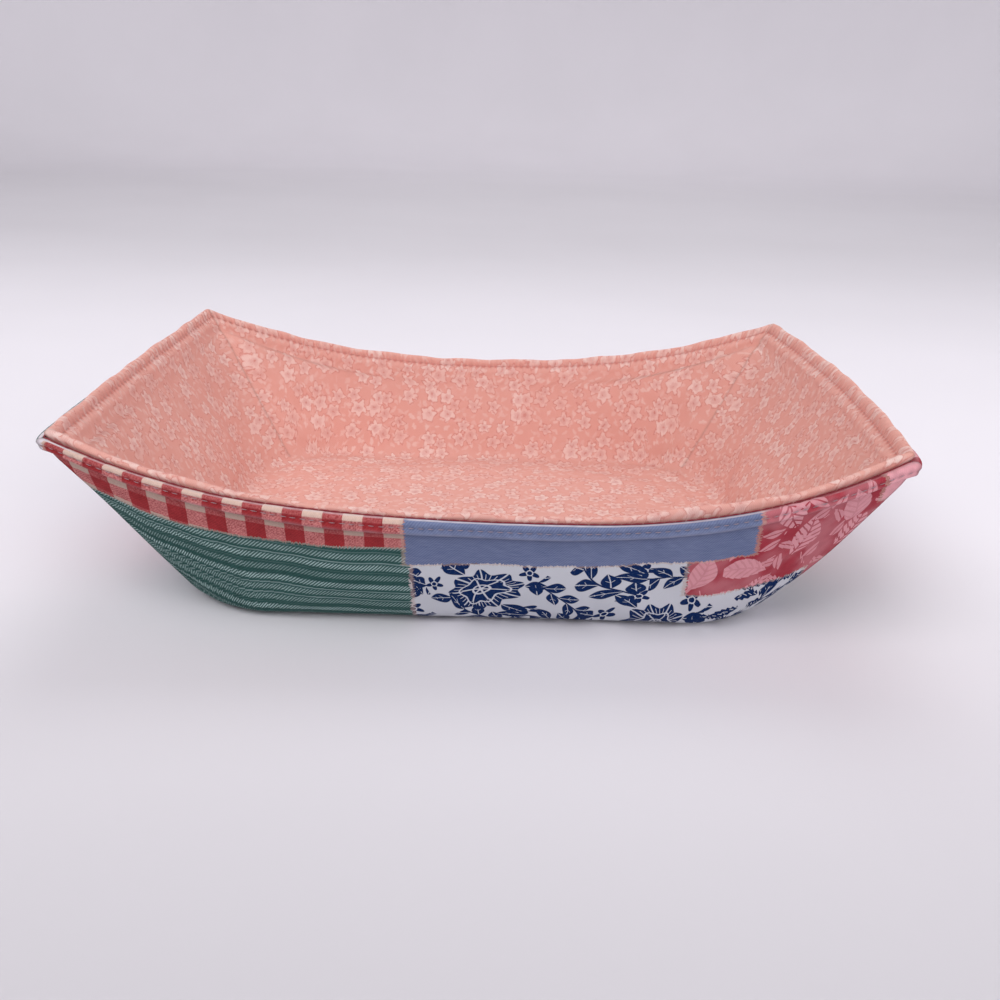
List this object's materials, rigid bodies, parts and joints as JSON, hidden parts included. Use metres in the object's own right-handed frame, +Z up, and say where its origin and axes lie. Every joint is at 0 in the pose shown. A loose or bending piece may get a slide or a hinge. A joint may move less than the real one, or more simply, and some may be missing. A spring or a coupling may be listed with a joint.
{
  "type": "microwave bowl cozy",
  "caption": "Rectangular quilted cotton bowl cozy with darted, pointed corners and a padded pocket that holds a hot food container.",
  "frame": {"origin": "middle of the underside, on the surface that the cozy stands on", "axes": "+X along the long sides, +Y towards the rear long side, +Z up out of the pocket"},
  "size_m": [0.2388, 0.165, 0.058],
  "materials": {
    "patchwork_cotton": "printed woven cotton: red gingham, green ticking, blue chambray, blue sprig and rose leaf patches",
    "calico_cotton": "printed woven cotton: pale blossoms on coral pink",
    "cotton_batting": "needled cotton batting, matt off-white",
    "sewing_thread": "twisted cotton sewing thread, pale pink",
    "seam_thread": "twisted cotton sewing thread, dark red"
  },
  "bodies": {
    "root": {"patchwork_cover": "patchwork_cotton", "cover_batting": "cotton_batting", "lining_batting": "cotton_batting", "calico_lining": "calico_cotton", "rim_seam_thread": "seam_thread", "topstitch_needle_thread": "sewing_thread", "topstitch_bobbin_thread": "sewing_thread", "cover_dart_thread_front_left": "sewing_thread", "lining_dart_thread_front_left": "sewing_thread", "cover_dart_thread_front_right": "sewing_thread", "lining_dart_thread_front_right": "sewing_thread", "cover_dart_thread_rear_right": "sewing_thread", "lining_dart_thread_rear_right": "sewing_thread", "cover_dart_thread_rear_left": "sewing_thread", "lining_dart_thread_rear_left": "sewing_thread"}
  },
  "joints": []
}
